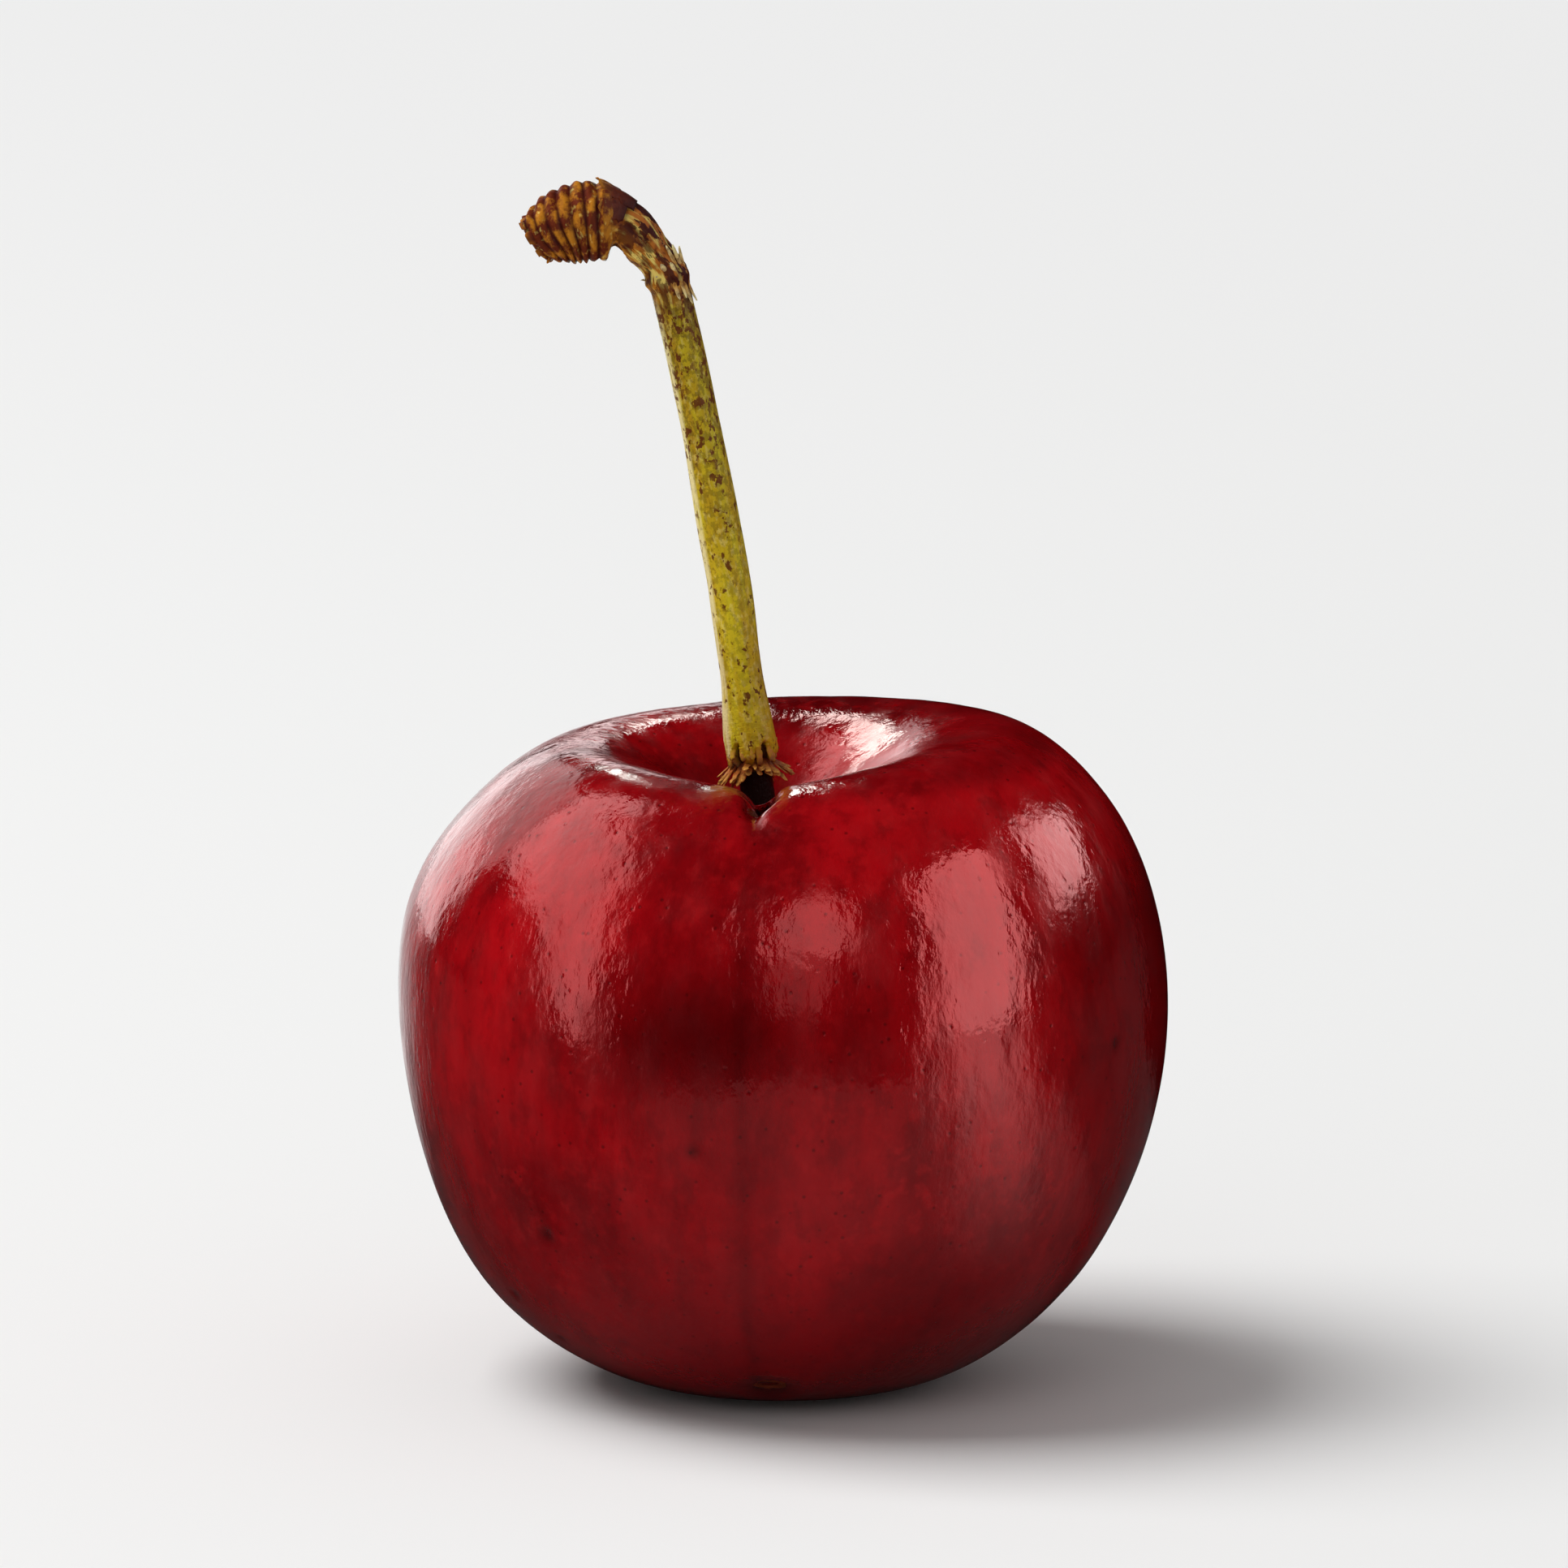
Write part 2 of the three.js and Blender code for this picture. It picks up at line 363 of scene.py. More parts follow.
# The third part is a bright wedge below the right card.
WEDGE_TURN, WEDGE_LIGHT = 56, 2.1
onward = f.reach(f.place(), direction(WEDGE_TURN, 0))
sideward = f.reach(f.place(), direction(WEDGE_TURN + 90, 0))
wedge_slant = f.maths("DIVIDE", sideward, f.maths("MAXIMUM", onward, AT_LEAST))
wedge = f.both(f.band(f.maths("ABSOLUTE", wedge_slant), 0.12, 0.30, 1, 0),
               f.band(onward, 0.014, 0.075))

# Far off the floor fades, for the eye only, into the even shade of the backdrop.
SKY_LIGHT, SKY_SEEN, SKY_MIRRORED = 0.31, 0.86, 0.01
FADE_START, FADE_END = 0.12, 0.42
faded = f.both(f.band(f.length(f.place()), FADE_START, FADE_END),
               f.node("LightPath").outputs["Is Camera Ray"])
paper = f.blend(faded, colour(0.88, 0.88, 0.875), colour(0, 0, 0))
mirrored = f.node("LightPath").outputs["Is Glossy Ray"]
f.set(Base_Color=f.blend(mirrored, paper, patchy), Roughness=0.9, Specular_IOR_Level=0.0,
      Emission_Color=colour(1, 1, 1),
      Emission_Strength=f.maths("ADD", f.both(f.both(wedge, mirrored), WEDGE_LIGHT),
                                f.both(faded, SKY_SEEN)))
floor.data.materials.append(f.material)
print("floor nodes:", len(f.tree.nodes))

# %% Sky
world = bpy.data.worlds.new("studio")
bpy.context.scene.world = world
world.use_nodes = True
sky = world.node_tree
sky.nodes.clear()
sky_ray = sky.nodes.new("ShaderNodeLightPath")
glow = sky.nodes.new("ShaderNodeBackground")
glow.inputs["Color"].default_value = colour(1, 1, 1)
# Its strength is the plain one, plus a step for rays that the eye or a mirror sends.
strength = glow.inputs["Strength"]
for ray, seen in (("Is Camera Ray", SKY_SEEN), ("Is Glossy Ray", SKY_MIRRORED)):
    step = sky.nodes.new("ShaderNodeMath")
    step.operation = "MULTIPLY_ADD"
    sky.links.new(sky_ray.outputs[ray], step.inputs[0])
    step.inputs[1].default_value = seen - SKY_LIGHT
    sky.links.new(step.outputs["Value"], strength)
    strength = step.inputs[2]
strength.default_value = SKY_LIGHT
sky_out = sky.nodes.new("ShaderNodeOutputWorld")
sky.links.new(glow.outputs["Background"], sky_out.inputs["Surface"])
print("sky nodes:", len(sky.nodes))

# %% [markdown]
# ## Helpers for surfaces
# Every piece here is a grid of points worked out by a formula. Each row is a ring round the
# piece, and the rows follow one another along it. One helper turns such a grid into a closed
# mesh: each ring joins up with itself, and each end is closed on one tip point. A second
# helper gives a smooth random grain at any size, the same on every run.

# %% Helpers
MM = 0.001


def passage(value, start, end):
    """0 before start, 1 after end, and a smooth S-shaped passage between:
    three times the square of the way through, less twice its cube."""
    way = np.clip((value - start) / (end - start), 0, 1)
    return way * way * (3 - 2 * way)


def bell(value, spread):
    """A bell that is 1 at zero: e to the power of minus the square of value over spread."""
    return np.exp(-((value / spread) ** 2))


# Large primes that turn a corner's position into a number with no pattern.
CELL_PRIMES = np.array([374761393, 668265263, 2246822519], np.uint64)
STIRRING = ((15, 2246822519), (13, 3266489917))


def grain(places, size, seed, layers=1):
    """Smooth random relief between -1 and 1. Space is cut into cubes of the given size, each
    corner gets a random number from its own position, and between corners the numbers are
    blended with a smooth passage. Each further layer is half as large and half as strong."""
    total, strength = 0, 1.0
    reach = 0.0
    for layer in range(layers):
        spots = places / size * 2 ** layer + 17.31 * (seed + 1) + 5.7 * layer
        corner = np.floor(spots).astype(np.int64)
        way = passage(spots - corner, 0, 1)
        value = 0
        for step in range(8):
            offset = np.array([step & 1, step >> 1 & 1, step >> 2 & 1])
            cell = (corner + offset).astype(np.uint64)
            mixed = (cell * CELL_PRIMES).sum(axis=-1) + np.uint64(seed * 97 + layer)
            for shift, prime in STIRRING:
                mixed = (mixed ^ (mixed >> np.uint64(shift))) * np.uint64(prime)
            chance = ((mixed >> np.uint64(16)) & np.uint64(0xFFFF)).astype(float) / 65535
            share = np.where(offset == 1, way, 1 - way).prod(axis=-1)
            value += share * chance
        total += strength * (2 * value - 1)
        reach += strength
        strength /= 2
    return total / reach


def layered(places, layers):
    """Sum of grains, each given by its strength, its size and its seed."""
    return sum(strength * grain(places, size, seed) for strength, size, seed in layers)


def store(mesh, name, values, kind="FLOAT", field="value"):
    """Stores one number, or one vector, for each point of a mesh, for its material."""
    layer = mesh.attributes.new(name, kind, "POINT")
    layer.data.foreach_set(field, np.ascontiguousarray(values, np.float32).ravel())


def grid_faces(rows, columns, first=0):
    """Faces of a tube of rows by columns, closed at both ends on a tip point: squares between
    neighbouring rows, and triangles from the first and last rows to the two tips."""
    index = first + np.arange(rows * columns).reshape(rows, columns)
    right = np.roll(index, -1, axis=1)
    squares = np.stack([index[:-1], right[:-1], right[1:], index[1:]], -1).reshape(-1, 4)
    start = np.full(columns, first + rows * columns)
    end = start + 1
    low = np.stack([start, right[0], index[0]], -1)
    high = np.stack([end, index[-1], right[-1]], -1)
    return squares, np.concatenate([low, high])


def build_piece(name, places, squares, triangles):
    """Makes an object at the origin from points in millimetres and two arrays of faces."""
    mesh = bpy.data.meshes.new(name)
    mesh.from_pydata((places * MM).tolist(), [], squares.tolist() + triangles.tolist())
    mesh.polygons.foreach_set("use_smooth", np.ones(len(mesh.polygons), bool))
    mesh.update()
    piece = add_object(name, mesh)
    corners = places[np.concatenate([squares[:, [0, 1, 2]], squares[:, [0, 2, 3]], triangles])]
    cones = np.einsum("ij,ij->i", corners[:, 0], np.cross(corners[:, 1], corners[:, 2]))
    volume = cones.sum() / 6
    print(f"{name}: {len(places)} points, {volume:.1f} cubic mm, faces out: {volume > 0}")
    return piece


def build_grid(name, grid, tips):
    """Makes an object from one grid of points and its two tip points."""
    return build_piece(name, np.concatenate([grid.reshape(-1, 3), tips]),
                       *grid_faces(*grid.shape[:2]))


print("surface helpers ready")

# %% [markdown]
# ## The shape of the fruit
# A cherry is a round body whose outline swells at the shoulders and runs straighter towards
# the blossom end. A sphere could be pushed about by hand, but four gentle waves added to
# its radius give the same outline with no bumps, and a flat-bottomed bell taken off the top
# makes the hollow that the stalk stands in. The suture, where the two edges of the young
# fruit's wall joined, is a shallow groove down the side that faces the camera. It cuts a
# small notch in the lip of the hollow.

# %% Fruit outline
ROUND_RADIUS = 13.98
MIDDLE_HEIGHT = 13.3
WAVES = (0.03, -0.0235, 0.027, -0.0145)
CAVITY_DEPTH, CAVITY_SPREAD, CAVITY_FLATNESS, CAVITY_SHIFT = 5.4, 0.45, 3.2, -1.3
DEPTH_SHARE = 0.927
CREST_HEIGHT = 24.5
SHOULDER_TILT = 0.05
CHEEK_FULLNESS, CHEEK_HIGH, CHEEK_LOW, CHEEK_REACH = 0.28, 19.5, 4.5, 3.6
SUTURE_ANGLE = -math.pi / 2 - 0.12
SUTURE_DIP, SUTURE_DIP_SPREAD = 0.56, 0.6
FOOT_SOFTNESS = 0.75
BROAD_GROOVE, BROAD_SPREAD, FINE_GROOVE, FINE_SPREAD = 0.10, 0.16, 0.02, 0.028
NOTCH_DEPTH, NOTCH_WIDTH, NOTCH_TAPER = 1.6, 0.096, 0.062
NOTCH_BEND, NOTCH_RIPPLE, NOTCH_RIPPLES = 0.05, 0.010, 42


def flesh_reach(from_down):
    """Distance from the middle of the flesh at an angle from straight down: the mean radius
    times one plus four cosine waves, less a flat-bottomed bell round the top."""
    waves = 1 + sum(share * np.cos((i + 1) * from_down) for i, share in enumerate(WAVES))
    from_up = (np.pi - from_down) / CAVITY_SPREAD
    return ROUND_RADIUS * waves - CAVITY_DEPTH * np.exp(-(from_up ** CAVITY_FLATNESS))


def fruit_places(from_down, around):
    """Point of the skin for an angle from straight down and a direction round the fruit.
    The outline is turned round, flattened front to back, set down on a soft flat foot, made
    fuller on the left cheek, tilted at the shoulders, lowered at the suture and grooved along
    it. Near the top it is slid left with the hollow. Also gives the turn away from the suture
    and the depth of the notch."""
    reach = flesh_reach(from_down)
    height = MIDDLE_HEIGHT - reach * np.cos(from_down)
    height = (height + np.sqrt(height ** 2 + FOOT_SOFTNESS ** 2)) / 2
    radius = reach * np.sin(from_down)
    x = radius * np.cos(around)
    y = radius * np.sin(around) * DEPTH_SHARE
    out = np.hypot(x, y)
    turn = (np.arctan2(y, x) - SUTURE_ANGLE + np.pi) % (2 * np.pi) - np.pi
    high = np.clip(height / CREST_HEIGHT, 0, 1)
    from_up = np.pi - from_down
    cheekward = (out - x) / np.maximum(2 * out, 1)
    fuller = bell(height - CHEEK_HIGH, CHEEK_REACH) + bell(height - CHEEK_LOW, CHEEK_REACH)
    x -= CHEEK_FULLNESS * cheekward ** 2 * fuller * passage(height, 0, 1)
    outward = passage(out, 1, CAVITY_DEPTH)
    lift = SHOULDER_TILT * x - SUTURE_DIP * outward * bell(turn, SUTURE_DIP_SPREAD)
    broad = BROAD_GROOVE * bell(turn, BROAD_SPREAD) * (0.15 + 0.85 * high ** 8)
    fine = FINE_GROOVE * bell(turn, FINE_SPREAD)
    low_part = passage(height, 0, 3)
    window = passage(from_up, 0.36, 0.47) * (1 - passage(from_up, 0.56, 0.80))
    slim = NOTCH_WIDTH - NOTCH_TAPER * passage(from_up, 0.47, 0.78)
    bend = NOTCH_BEND * passage(from_up, 0.8, 0.45)
    bend += NOTCH_RIPPLE * np.sin(NOTCH_RIPPLES * from_up)
    notch = NOTCH_DEPTH * window * bell(turn - bend, slim)
    cut = outward * (broad + fine) * low_part + notch
    kept = 1 - cut / np.maximum(out, 1)
    x = x * kept + CAVITY_SHIFT * bell(out, CAVITY_DEPTH) * high ** 3
    y = y * kept
    height = height + lift * high ** 3 - cut * high ** 8
    return np.stack([x, y, height], -1), turn, notch


half_turn = np.linspace(0, np.pi, 91)
print("widest radius in mm:",
      round(float((flesh_reach(half_turn) * np.sin(half_turn)).max()), 2))

# %% [markdown]
# ## Life in the skin
# Real skin is never a perfect form. It has broad faint swellings that bend the mirrored
# cards, a fine unevenness that frays their edges, and a few small dents from handling.
# The broad ones are moved into the mesh along its outward direction, because they must
# show from every side. The finest are left to the material.

# %% Fruit surface
FRUIT_COLUMNS, FRUIT_ROWS = 324, 300
BELOW_SHOULDERS = 2.4
SUTURE_CROWDING = 0.5
# Relief in layers, each with its strength, size and seed.
SWELLINGS = ((0.10, 7.5, 1), (0.035, 3.2, 2))
RIPPLES = ((0.018, 1.4, 3), (0.007, 0.7, 4))


def outward_directions(places):
    """Unit outward directions of a closed grid: the cross product of the step round the
    piece and the step along it."""
    along = np.gradient(places, axis=0)
    round_step = np.roll(places, -1, axis=1) - np.roll(places, 1, axis=1)
    out = np.cross(round_step, along)
    return out / np.maximum(np.linalg.norm(out, axis=-1, keepdims=True), 1e-9)


def skin_spot(height, bearing):
    """Row and column of the skin's point nearest to a height and a bearing."""
    row = np.abs(skin[:, 0, 2] - height)[from_down < BELOW_SHOULDERS].argmin()
    column = np.abs((around - bearing + np.pi) % (2 * np.pi) - np.pi).argmin()
    return row, column


# Columns crowd together at the suture, so that its groove and notch have enough points.
share = np.linspace(-np.pi, np.pi, FRUIT_COLUMNS, endpoint=False)
around = SUTURE_ANGLE + share - SUTURE_CROWDING * np.sin(share)
from_down = np.linspace(0, np.pi, FRUIT_ROWS + 2)[1:-1]
skin, turn, notch = fruit_places(from_down[:, None], around[None, :])
tips, _, _ = fruit_places(np.array([1e-6, np.pi - 1e-6]), np.array([0.0, 0.0]))
outward = outward_directions(skin)

# The relief fades out towards the foot, which has to stand flat.
relief = layered(skin, SWELLINGS) + layered(skin * np.array([1, 1, 0.45]), RIPPLES)
relief *= passage(skin[..., 2], 0.0, 2.5)

# Small dents: each is a height in mm, a bearing round the fruit in radians, a radius and a
# depth. The first is the dimple of the blossom scar. A faint rim is raised round each.
SCAR_HEIGHT, SCAR_BEARING = 1.3, -1.633
DENTS = (
    (SCAR_HEIGHT, SCAR_BEARING, 0.85, 0.16), (7.6, -2.30, 0.36, 0.09),
    (11.6, -1.81, 0.30, 0.06), (4.5, -2.61, 0.26, 0.07), (2.9, -2.55, 0.24, 0.06),
    (12.5, 0.35, 0.50, 0.07), (17.0, 1.9, 0.60, 0.08), (8.0, 2.7, 0.40, 0.08),
    (14.2, -0.55, 0.30, 0.05),
)
bruise = np.zeros(skin.shape[:2])
for height, bearing, wide, deep in DENTS:
    away = np.linalg.norm(skin - skin[skin_spot(height, bearing)], axis=-1)
    dent = bell(away, wide)
    relief = relief - deep * dent + 0.3 * deep * bell(away - 1.6 * wide, 0.5 * wide)
    bruise = np.maximum(bruise, dent)

skin += outward * relief[..., None]
lowest = tips[0, 2]
skin[..., 2] -= lowest
tips[:, 2] -= lowest
fruit = build_grid("cherry_fruit", skin, tips)
print("lowest point in mm:", round(float(skin[..., 2].min()), 3))

# %% Numbers for the skin's finish
# Streaks are grain on a drum of the fruit's width, squeezed in height so that they run long.
DRUM_RADIUS, DRUM_SQUEEZE = 14, 0.16
x, y, z = np.moveaxis(skin, -1, 0)
streak_places = np.stack([DRUM_RADIUS * np.cos(around)[None, :] + 0 * z,
                          DRUM_RADIUS * np.sin(around)[None, :] + 0 * z, DRUM_SQUEEZE * z], -1)
streaks = grain(streak_places, 1.1, 5, 3)
blush = grain(skin, 9.0, 6, 2)
seam = bell(turn * np.hypot(x, y), 0.28) * passage(z, 0.2, 1.5)
# Painted shadow: the notch in the lip is blackened in the finish below.
notch_shadow = np.clip(notch / 0.9, 0, 1)
# Painted shade: the hollow round the stalk is darkened in the finish below.
hollow = (1 - passage(np.hypot(x - CAVITY_SHIFT, y), 1.2, 4.2)) * passage(z, 15, 18)
# Painted dark reflection: a dark patch high on the front stands for the dark studio mirrored
# there.
painted_dark_reflection = bell(x + 3.2, 4.5) * bell(z - 15.6, 2.8) * passage(-y, 4, 8)
# Painted shade: the skin is made darker towards the blossom end, on the right cheek and on the
# right crest, on the side away from the light.
shaded_right_cheek = passage(x, 8.0, 13.5) * (1 - passage(z, 18.0, 22.0))
painted_shade = np.maximum(1 - passage(z, 2.0, 12.5), shaded_right_cheek)
shaded_right_crest = passage(z, 23.4, 24.2) * passage(x, 0.0, 3.0) * (1 - hollow)
painted_shade = np.maximum(painted_shade, 0.5 * shaded_right_crest)
# Painted light: the right shoulder is made brighter, for the light that falls on the top.
lit_shoulder = passage(z, 18.0, 22.0) * (1 - hollow) * passage(x, -2.0, 4.0)
lit_shoulder *= (1 - passage(z, 23.2, 24.0))
for name, values in dict(streaks=streaks, blush=blush, seam=seam, notch=notch_shadow,
                         bruise=bruise, hollow=hollow, shade=painted_dark_reflection,
                         painted_shade=painted_shade, lit_shoulder=lit_shoulder).items():
    store(fruit.data, name, np.append(values.ravel(), [0, 1 if name == "hollow" else 0]))
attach(fruit, "root")
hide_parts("fruit")
print("numbers on the skin:", [layer.name for layer in fruit.data.attributes][-9:])

# %% [markdown]
# ## The skin's finish
# Cherry skin is a dark red jelly under a clear wax. The red is uneven: darker wine where it
# is ripest, brighter where it is thinner, with faint streaks from stalk to blossom end and
# tiny pale and dark pores. Painted light and shade lie over it: a painted highlight on the
# right shoulder, painted shade towards the blossom end, on the right, in the hollow and in
# the notch, and a painted dark reflection of the studio high on the front. One principled
# shader carries all of it. The wax is its mirror layer, tinted red because the light that it
# mirrors also glows through the skin around the bright patches. A clear coat would mirror
# them white. The jelly is a little subsurface scattering, and three bumps fray the mirrored
# edges.

# %% Skin finish
f = Finish("cherry_skin")
NIGHT = colour(0.014, 0.0006, 0.001)
WINE = colour(0.100, 0.0006, 0.0018)
MIRRORED_DARK = colour(0.070, 0.0004, 0.0012)
RED = colour(0.42, 0.0026, 0.0060)
BRIGHT = colour(0.55, 0.010, 0.012)
LIT_RED = colour(0.56, 0.0045, 0.0085)
tall = f.place((1, 1, 0.5))

ripeness = f.maths("ADD", f.both(f.number("blush"), 0.50), f.both(f.number("streaks"), 0.16))
ripeness = f.maths("ADD", ripeness, f.noise(tall, 2.4, 5, 0.6))
skin_colour = f.blend(f.band(ripeness, 0.15, 0.85), WINE, RED)
# Painted light: the right shoulder is brightened.
skin_colour = f.blend(f.both(f.number("lit_shoulder"), 0.55), skin_colour, LIT_RED)
fleck = f.both(f.band(f.dots(tall, 1.3), 0.07, 0.17, 0.40, 0),
               f.cloud(f.place(), 4.0, 0.54, 0.66, detail=1))
skin_colour = f.blend(fleck, skin_colour, BRIGHT)
mottled_here = f.band(f.noise(f.place(), 5.0), 0.42, 0.62, 0.08, 0.26)
mottle = f.both(f.cloud(f.place(), 0.55, 0.50, 0.68, detail=3), mottled_here)
skin_colour = f.blend(mottle, skin_colour, BRIGHT)
clouded = f.cloud(tall, 0.9, 0.50, 0.66, detail=4, rough=0.62, high=0.38)
skin_colour = f.blend(clouded, skin_colour, WINE)
PORES_APART = 0.60
pores = f.dots(f.place(), PORES_APART)
skin_colour = f.blend(f.band(pores, 0.06, 0.15, 0.55, 0), skin_colour, NIGHT)
# Painted shade: the first two, and the hollow and the notch, stand for shade and a dark
# reflection; bruise and seam are the skin's own marks.
for name, strength, tone in (("shade", 0.88, MIRRORED_DARK), ("painted_shade", 0.78, WINE),
                             ("bruise", 0.7, NIGHT), ("seam", 0.25, NIGHT),
                             ("hollow", 0.65, WINE), ("notch", 1.0, NIGHT)):
    skin_colour = f.blend(f.both(f.number(name), strength), skin_colour, tone)

wobble = f.bump(f.noise(tall, 1.0), 0.042)
frayed = f.bump(f.noise(tall, 0.36, 3, 0.6), 0.023, wobble)
pitted = f.bump(f.band(pores, 0.0, 0.22), 0.008, frayed)
f.set(Base_Color=skin_colour, Normal=pitted,
      Roughness=f.band(f.noise(tall, 1.3, 3), 0.38, 0.66, 0.07, 0.22),
      Specular_IOR_Level=1.0, Specular_Tint=colour(1.0, 0.25, 0.25),
      Subsurface_Weight=0.10, Subsurface_Radius=(1.0, 0.12, 0.10), Subsurface_Scale=0.0012)
fruit.data.materials.append(f.material)
print("skin nodes:", len(f.tree.nodes))

# %% [markdown]
# ## The stalk
# The stalk, its swollen joint, the bent neck and the ridged knob grew as one shoot, so they
# are one tube whose radius changes along a bent middle line. A pipe bent by modifiers would
# pinch at the neck. Working out the line from its lean, a little at a time, keeps every
# ring square to it. Low ribs run along the shaft, and the knob carries ring-shaped scars
# where bud scales once sat, so its rings are sharp, uneven and broken.

# %% Stalk line and radius
STALK_FOOT = np.array([-0.86, 0.0, 21.2])
STALK_LENGTH = 26.3
CORE_RADIUS, FOOT_RADIUS, SHAFT_RADIUS, WAIST_RADIUS = 0.62, 0.98, 0.80, 0.71
NODE_RADIUS, NECK_RADIUS, KNOB_NECK_RADIUS, KNOB_RADIUS = 0.84, 0.72, 0.93, 1.45
KNOB_END_RADIUS = 0.88
FOOT_TOP_AT, WAIST_AT, NODE_AT, NECK_AT, KNOB_AT = 2.4, 17.0, 20.25, 20.9, 23.5
KNOB_RIDGES = 7
SIDE_LEAN = math.radians(1.5)
# Each bend is a turn in degrees, and where along the stalk it starts and ends.
FOOT_LEAN = 7.5
BENDS = ((5.2, 4, NODE_AT), (28, 19.65, 21.3), (50, 22.15, KNOB_AT),
         (32, KNOB_AT, STALK_LENGTH))
# Each change is the radius that it leads to, and where it starts and ends.
CHANGES = ((FOOT_RADIUS, 1.75, FOOT_TOP_AT), (SHAFT_RADIUS, FOOT_TOP_AT, 5.4),
           (WAIST_RADIUS, 10.4, WAIST_AT), (NECK_RADIUS, 18, NECK_AT),
           (KNOB_NECK_RADIUS, NECK_AT, 22.5), (KNOB_RADIUS, KNOB_AT - 0.6, KNOB_AT))


def stalk_lean(along):
    """Lean from upright, in radians, at a length along the stalk: the lean of the foot plus
    a sum of smooth bends."""
    return np.radians(sum((turn * passage(along, start, end) for turn, start, end in BENDS),
                          FOOT_LEAN))


def stalk_middle(along):
    """Middle line of the stalk: the lean added up in small equal steps from the foot."""
    steps = np.linspace(0, STALK_LENGTH, 2001)
    middles = (steps[1:] + steps[:-1]) / 2
    slide = np.append(0, np.cumsum(-np.sin(stalk_lean(middles)))) * steps[1]
    rise = np.append(0, np.cumsum(np.cos(stalk_lean(middles)))) * steps[1]
    return STALK_FOOT + np.stack([np.interp(along, steps, slide), np.sin(SIDE_LEAN) * along,
                                  np.interp(along, steps, rise)], -1)


def stalk_radius(along):
    """Radius along the stalk: smooth steps between the widths of core, foot, shaft, waist,
    neck and knob, with a cubic taper to the knob's end and a bell for the swollen joint."""
    radius = before = CORE_RADIUS
    for after, start, end in CHANGES:
        radius += (after - before) * passage(along, start, end)
        before = after
    late = np.clip((along - KNOB_AT) / (STALK_LENGTH - KNOB_AT), 0, 1)
    radius += (KNOB_END_RADIUS - KNOB_RADIUS) * late ** 3
    return radius + (NODE_RADIUS - WAIST_RADIUS) * bell(along - NODE_AT, 0.3)


def on_stalk(along, round_it, out):
    """Point at a length along the stalk, a direction round it and a distance from its middle
    line. Direction 0 is the side away from the lean, and a quarter turn on is the back."""
    lean = stalk_lean(along)
    across = np.stack([np.cos(lean), 0 * lean, np.sin(lean)], -1)
    side = np.array([0.0, 1.0, 0.0])
    return (stalk_middle(along) + across * (out * np.cos(round_it))[..., None]
            + side * (out * np.sin(round_it))[..., None])


print("stalk top in mm:", round(float(stalk_middle(STALK_LENGTH)[2]), 1))

# %% Stalk surface
STALK_COLUMNS = 96
ROOT_DEPTH = 0.95
FIBRE_HEIGHT, LUMP_HEIGHT, TEAR_DEPTH = 0.022, 0.045, 0.26
WRINKLE_HEIGHT, CRACK_DEPTH, RIDGE_HEIGHT, CHIP_HEIGHT = 0.11, 0.07, 0.12, 0.17
END_ROUNDING = 0.16

# Rows lie closer together where there is more detail: each stretch has its own number.
STRETCH_ENDS = np.array([0.0, 1.7, 3.2, 19.4, 23.2, STALK_LENGTH])
STRETCH_ROWS = (10, 34, 150, 130, 240)
along = np.concatenate([np.linspace(start, end, rows, endpoint=False) for start, end, rows
                        in zip(STRETCH_ENDS, STRETCH_ENDS[1:], STRETCH_ROWS)]
                       + [STRETCH_ENDS[-1:]])
round_it = np.linspace(0, 2 * np.pi, STALK_COLUMNS, endpoint=False)
along, round_it = np.meshgrid(along, round_it, indexing="ij")
radius = stalk_radius(along)
hooped = np.stack([np.cos(round_it) * 0.8, np.sin(round_it) * 0.8, along], -1)

# Long fibres and soft lumps on the shaft.
fibres = grain(hooped * np.array([1, 1, 0.10]), 0.24, 11, 2)
lumps = grain(hooped * np.array([1, 1, 0.35]), 1.0, 12, 2)
shaft_part = passage(along, 2.3, 3.0) * (1 - passage(along, 22.6, 23.3))
radius += shaft_part * (FIBRE_HEIGHT * fibres + LUMP_HEIGHT * lumps)

# The foot is torn: its lower edge is bitten into by notches of uneven depth.
teeth = grain(hooped * np.array([1, 1, 0.10]), 0.30, 13)
foot_part = passage(along, 1.75, 1.95) * (1 - passage(along, 2.9, 3.3))
torn = foot_part * passage(teeth - 0.75 * (along - 2.25), 0.0, 0.20)
radius -= TEAR_DEPTH * torn

# Bark wrinkles on the neck.
neck_part = passage(along, 19.5, 20.4) * (1 - passage(along, 23.0, 23.4))
wrinkles = grain(hooped * np.array([1, 1, 0.55]), 0.42, 14, 3)
cracks = passage(wrinkles, -0.1, -0.45)
radius += neck_part * (WRINKLE_HEIGHT * wrinkles - CRACK_DEPTH * cracks)

# The knob's scars lean a little, bunch up towards its free end and are chipped.
knob_part = passage(along, KNOB_AT - 0.12, KNOB_AT + 0.1)
knob_way = (along - KNOB_AT) / (STALK_LENGTH - KNOB_AT)
wander = 0.045 * np.cos(round_it - 1.9) * knob_way + 0.055 * grain(hooped, 1.0, 15, 2)
phase = KNOB_RIDGES * (knob_way + wander + 0.05 * knob_way ** 2)
wave = 0.5 + 0.5 * np.cos(2 * np.pi * phase)
ridge = wave ** 0.55
chips = grain(hooped, 0.45, 16, 3)
radius += knob_part * (RIDGE_HEIGHT * (ridge - 0.75) + CHIP_HEIGHT * chips)
closing = np.sqrt(np.clip((STALK_LENGTH - along) / END_ROUNDING, 0, 1))
radius = radius * np.where(knob_way > 0.5, 0.55 + 0.45 * closing, 1)

